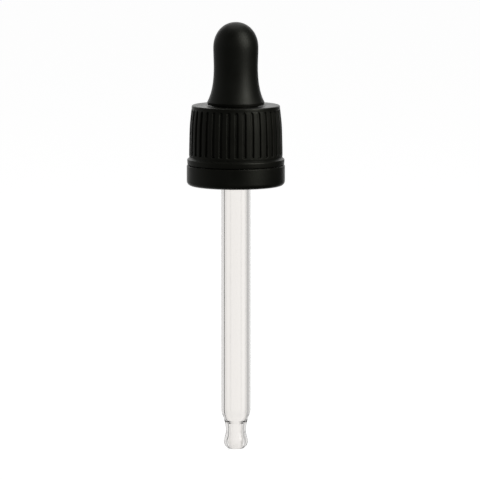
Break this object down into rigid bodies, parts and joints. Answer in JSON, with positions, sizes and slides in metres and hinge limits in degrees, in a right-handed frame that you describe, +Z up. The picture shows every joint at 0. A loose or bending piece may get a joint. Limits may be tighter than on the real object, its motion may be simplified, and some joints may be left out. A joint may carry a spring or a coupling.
{
  "type": "medicine dropper",
  "caption": "Screw-cap dropper for a medicine bottle: a rubber squeeze bulb on a ribbed cap with a break-off ring, and a glass pipette drawn to a ball tip.",
  "frame": {"origin": "on the dropper's axis, in the plane where the lip of the bottle meets the underside of the bulb's flange", "axes": "+Z up the axis to the top of the bulb; -Z down the glass pipette, the way the bottle leaves"},
  "size_m": [0.0234, 0.0234, 0.1021],
  "materials": {
    "cap_plastic": "black moulded polypropylene with a fine satin texture",
    "bulb_rubber": "black matt moulded rubber",
    "clear_glass": "clear drawn glass with fire-polished ends"
  },
  "bodies": {
    "cap": {"screw_cap": "cap_plastic"},
    "pipette": {"glass_pipette": "clear_glass"},
    "bulb": {"rubber_bulb": "bulb_rubber"},
    "ring": {"tamper_ring": "cap_plastic"}
  },
  "joints": [
    {"name": "pipette_swivel", "type": "hinge", "parent": "cap", "child": "pipette", "pos_m": [0, 0, 0], "axis": [0, 0, 1], "continuous": true},
    {"name": "bulb_squeeze", "type": "slide", "parent": "pipette", "child": "bulb", "axis": [0, 0, -1], "range_m": [0, 0.005], "stiffness_N_per_m": 800, "deforming": ["rubber_bulb"]},
    {"name": "ring_break_off", "type": "slide", "parent": "cap", "child": "ring", "axis": [0, 0, -1], "range_m": [0, 0.062]}
  ]
}
